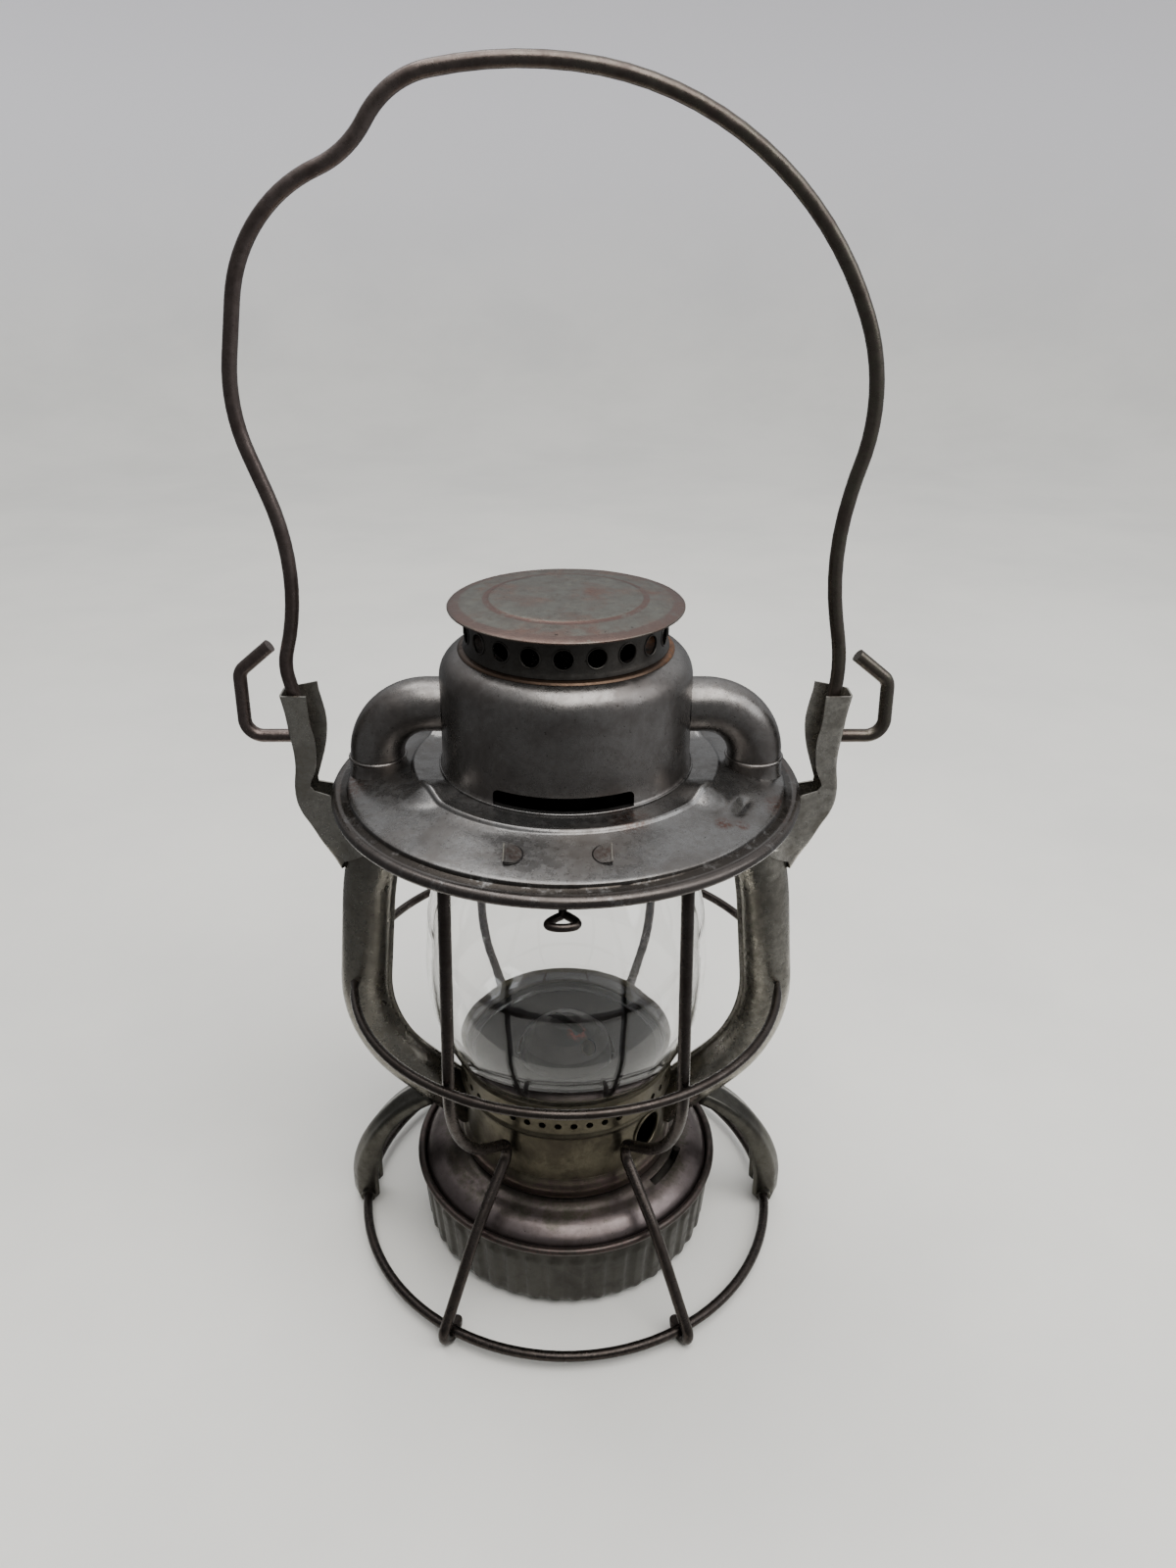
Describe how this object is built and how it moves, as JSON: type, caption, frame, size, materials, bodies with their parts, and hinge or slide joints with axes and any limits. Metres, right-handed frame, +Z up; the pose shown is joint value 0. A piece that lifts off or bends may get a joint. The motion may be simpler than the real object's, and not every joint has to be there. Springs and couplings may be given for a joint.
{
  "type": "railroad lantern",
  "caption": "Railroad hand lantern with a wire guard, side air tubes, a hinged hood, a glass globe, a bayonet oil fount with a flat wick burner and a carrying bail.",
  "frame": {"origin": "on the table under the lantern's axis", "axes": "+Z up along the globe's axis, -Y towards the front with the latch, +X to the right seen from the front"},
  "size_m": [0.2229, 0.17, 0.4147],
  "materials": {
    "pewter_tin": "aged satin",
    "dark_tin": "aged satin",
    "stained_cap": "stained satin",
    "yellow_tin": "aged satin",
    "plum_tin": "aged satin",
    "heat_brown": "heat stained",
    "fount_tin": "aged satin",
    "brown_wire": "aged satin",
    "steel_pin": "satin",
    "clear_glass": "clear, dusty",
    "burner_brass": "tarnished",
    "cotton": "woven"
  },
  "bodies": {
    "frame": {"foot_ring": "brown_wire", "strap_leg_left": "dark_tin", "strap_leg_right": "dark_tin", "guard_wire_front_left": "brown_wire", "guard_wire_front_right": "brown_wire", "guard_wire_rear_left": "brown_wire", "guard_wire_rear_right": "brown_wire", "guard_ring_front": "brown_wire", "guard_ring_rear": "brown_wire", "upper_guard_ring": "brown_wire", "side_tube_left": "pewter_tin", "side_tube_right": "pewter_tin", "ear_left": "pewter_tin", "ear_right": "pewter_tin", "collar": "yellow_tin", "bell": "plum_tin", "draft_plate": "dark_tin", "globe": "clear_glass", "hinge_leaf_frame": "dark_tin", "hinge_pin": "steel_pin"},
    "hood": {"hood_plate": "pewter_tin", "rim_wire": "brown_wire", "drum": "pewter_tin", "drum_neck": "heat_brown", "vent_band": "dark_tin", "cap": "stained_cap", "elbow_left": "pewter_tin", "elbow_right": "pewter_tin", "ferrule_left": "dark_tin", "ferrule_right": "dark_tin", "globe_holder": "dark_tin", "inner_chimney": "dark_tin", "hinge_leaf_hood": "dark_tin"},
    "latch": {"latch_wire": "brown_wire"},
    "bail": {"bail": "brown_wire", "bail_leg_springs": "brown_wire", "bail_hooks": "brown_wire"},
    "fount": {"fount_shell": "fount_tin", "fount_top": "dark_tin", "filler_neck": "burner_brass", "burner_gallery": "burner_brass", "burner_cone": "dark_tin", "wick_tube": "burner_brass"},
    "filler_cap": {"filler_cap": "burner_brass"},
    "wick_wheel": {"wick_shaft": "burner_brass"},
    "wick": {"wick": "cotton"}
  },
  "joints": [
    {"name": "bail_swing", "type": "hinge", "parent": "frame", "child": "bail", "pos_m": [0, 0, 0.2136], "axis": [1, 0, 0], "range_deg": [-140, 140], "deforming": ["bail_leg_springs"]},
    {"name": "hood_open", "type": "hinge", "parent": "frame", "child": "hood", "pos_m": [0, 0.0834, 0.1959], "axis": [-1, 0, 0], "range_deg": [0, 100]},
    {"name": "latch_press", "type": "hinge", "parent": "hood", "child": "latch", "pos_m": [0, -0.062, 0.1997], "axis": [1, 0, 0], "range_deg": [0, 10], "stiffness_Nm_per_rad": 0.02},
    {"name": "fount_turn", "type": "hinge", "parent": "frame", "child": "fount", "pos_m": [0, 0, 0.02], "axis": [0, 0, -1], "range_deg": [0, 24]},
    {"name": "wick_turn", "type": "hinge", "parent": "fount", "child": "wick_wheel", "pos_m": [0.00379, 0.00334, 0.06], "axis": [-0.6618, 0.7497, 0], "range_deg": [-70, 85]},
    {"name": "wick_slide", "type": "slide", "parent": "fount", "child": "wick", "axis": [0, 0, 1], "range_m": [-0.0048, 0.0058]},
    {"name": "filler_cap_turn", "type": "hinge", "parent": "fount", "child": "filler_cap", "pos_m": [-0.01043, 0.02866, 0.041], "axis": [0, 0, 1], "range_deg": [0, 90]}
  ],
  "couplings": [
    {"joint": "wick_turn", "follows": "wick_slide", "rad_per_m": 250}
  ]
}
